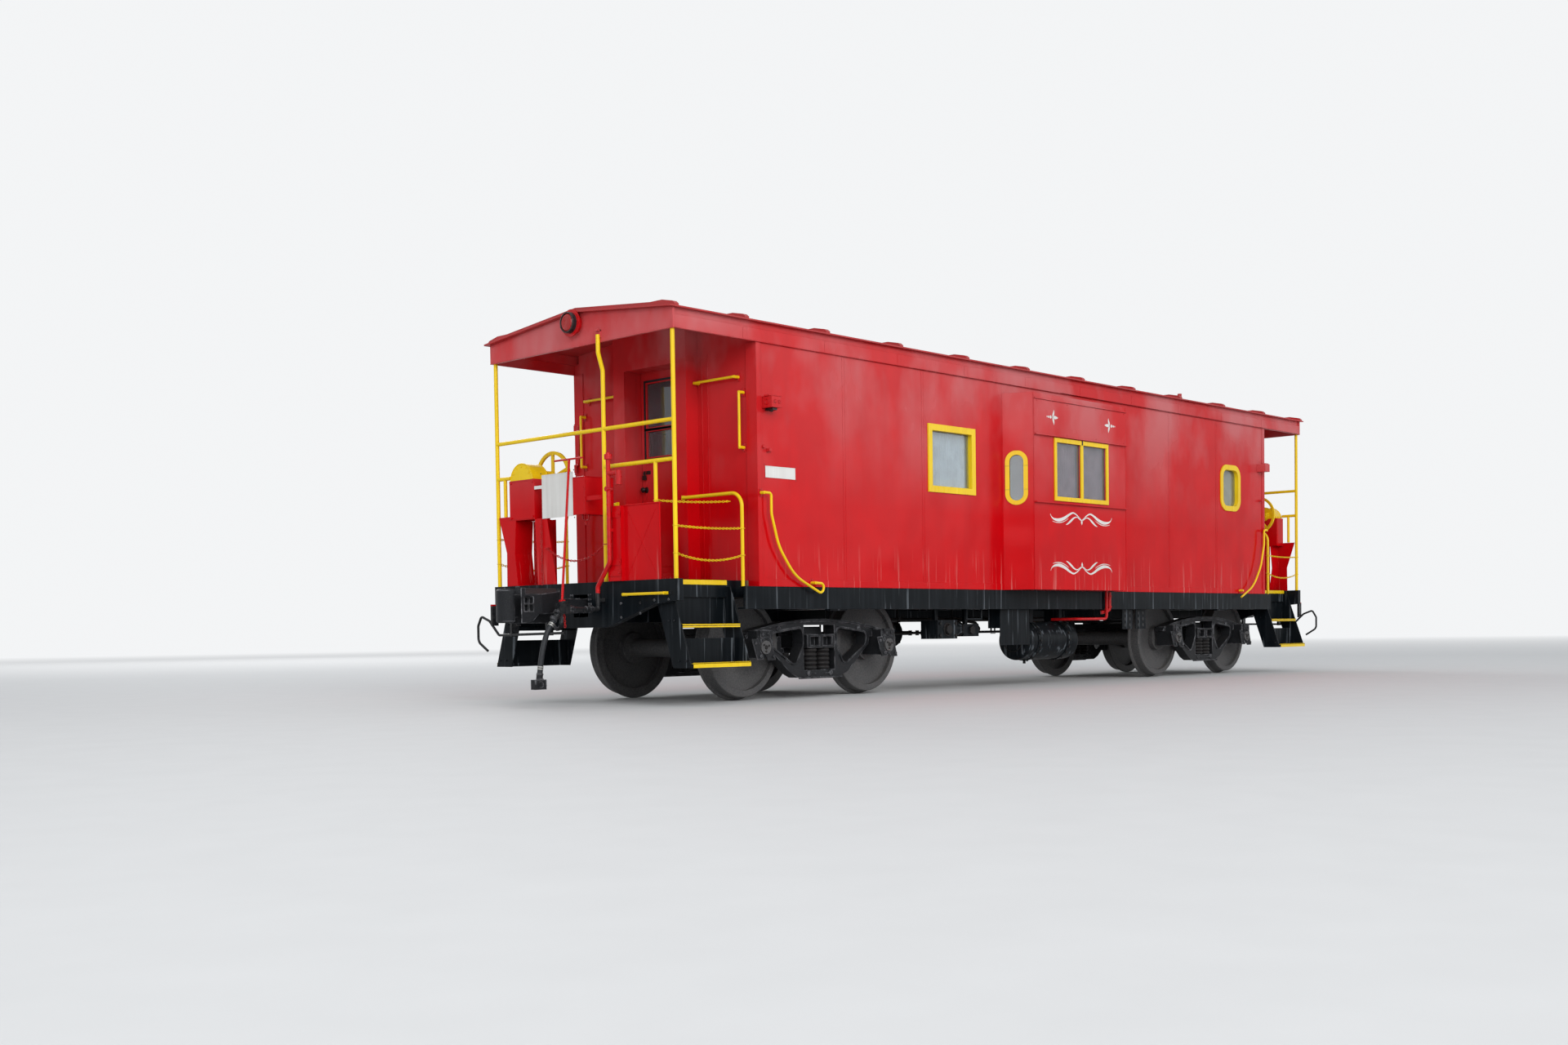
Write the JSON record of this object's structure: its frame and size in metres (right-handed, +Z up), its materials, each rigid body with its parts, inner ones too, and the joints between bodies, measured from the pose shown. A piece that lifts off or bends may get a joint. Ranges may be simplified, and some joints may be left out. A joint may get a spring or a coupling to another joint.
{
  "type": "bay window caboose",
  "caption": "Steel railway caboose with a hollow cabin, lookout bays, end platforms with railings and steps, on sprung trucks.",
  "frame": {"origin": "middle of the car in plan, at the lowest point of the wheel flanges", "axes": "+X along the car towards the far end, +Y across the car, +Z up; the end shown nearest in the picture is at -X"},
  "size_m": [13.0962, 3.118, 3.723],
  "materials": {
    "red_paint": "gloss",
    "roof_paint": "satin",
    "yellow_paint": "gloss",
    "black_paint": "worn",
    "floor_boards": "matte",
    "cast_steel": "worn",
    "spring_steel": "worn",
    "wheel_steel": "worn",
    "hose_rubber": "matte",
    "window_glass": "gloss",
    "lamp_metal": "satin",
    "lamp_red": "gloss",
    "plate_white": "satin",
    "curtain_cloth": "matte"
  },
  "bodies": {
    "carbody": {"air_pipes": "red_paint", "air_reservoir": "black_paint", "bays": "red_paint", "blank_plates": "plate_white", "brake_equipment": "black_paint", "brake_gear_cases": "yellow_paint", "brake_housings": "red_paint", "brake_wheels": "yellow_paint", "chains": "yellow_paint", "control_rods": "red_paint", "coupler_knuckles": "cast_steel", "couplers": "cast_steel", "curtains": "curtain_cloth", "door_surrounds": "red_paint", "end_fascias": "red_paint", "end_lamp_housings": "lamp_metal", "end_lamp_lenses": "lamp_red", "end_panels": "red_paint", "end_railings": "yellow_paint", "end_sills": "black_paint", "end_walls": "red_paint", "equipment_brackets": "black_paint", "far_air_hose": "hose_rubber", "far_gladhand": "cast_steel", "floor": "floor_boards", "grab_irons": "yellow_paint", "marker_brackets": "red_paint", "near_air_hose": "hose_rubber", "near_gladhand": "cast_steel", "platform_decks": "black_paint", "roof": "roof_paint", "roof_fittings": "roof_paint", "roof_ribs": "roof_paint", "side_fascias": "red_paint", "side_panels": "red_paint", "side_sills": "black_paint", "steps": "black_paint", "underframe": "black_paint", "wall_posts": "red_paint", "window_frames": "yellow_paint", "window_glass": "window_glass"},
    "near_truck": {"near_side_frames": "cast_steel", "near_brake_rigging": "cast_steel", "near_bolster": "cast_steel", "near_springs": "spring_steel"},
    "near_outer_wheelset": {"near_outer_wheelset": "wheel_steel"},
    "near_inner_wheelset": {"near_inner_wheelset": "wheel_steel"},
    "near_door": {"near_door": "red_paint", "near_door_glass": "window_glass"},
    "far_truck": {"far_side_frames": "cast_steel", "far_brake_rigging": "cast_steel", "far_bolster": "cast_steel", "far_springs": "spring_steel"},
    "far_outer_wheelset": {"far_outer_wheelset": "wheel_steel"},
    "far_inner_wheelset": {"far_inner_wheelset": "wheel_steel"},
    "far_door": {"far_door": "red_paint", "far_door_glass": "window_glass"}
  },
  "joints": [
    {"name": "near_truck_swivel", "type": "hinge", "parent": "carbody", "child": "near_truck", "pos_m": [-3.629, 0, 0.718], "axis": [0, 0, 1], "range_deg": [-5, 5]},
    {"name": "near_outer_axle", "type": "hinge", "parent": "near_truck", "child": "near_outer_wheelset", "pos_m": [-4.4925, 0, 0.485], "axis": [0, 1, 0], "continuous": true},
    {"name": "near_inner_axle", "type": "hinge", "parent": "near_truck", "child": "near_inner_wheelset", "pos_m": [-2.7655, 0, 0.485], "axis": [0, 1, 0], "continuous": true},
    {"name": "far_truck_swivel", "type": "hinge", "parent": "carbody", "child": "far_truck", "pos_m": [3.629, 0, 0.718], "axis": [0, 0, 1], "range_deg": [-5, 5]},
    {"name": "far_outer_axle", "type": "hinge", "parent": "far_truck", "child": "far_outer_wheelset", "pos_m": [4.4925, 0, 0.485], "axis": [0, 1, 0], "continuous": true},
    {"name": "far_inner_axle", "type": "hinge", "parent": "far_truck", "child": "far_inner_wheelset", "pos_m": [2.7655, 0, 0.485], "axis": [0, 1, 0], "continuous": true},
    {"name": "near_door_hinge", "type": "hinge", "parent": "carbody", "child": "near_door", "pos_m": [-4.602, -0.379, 2], "axis": [0, 0, 1], "range_deg": [-90, 0]},
    {"name": "far_door_hinge", "type": "hinge", "parent": "carbody", "child": "far_door", "pos_m": [4.602, 0.379, 2], "axis": [0, 0, 1], "range_deg": [-90, 0]}
  ]
}
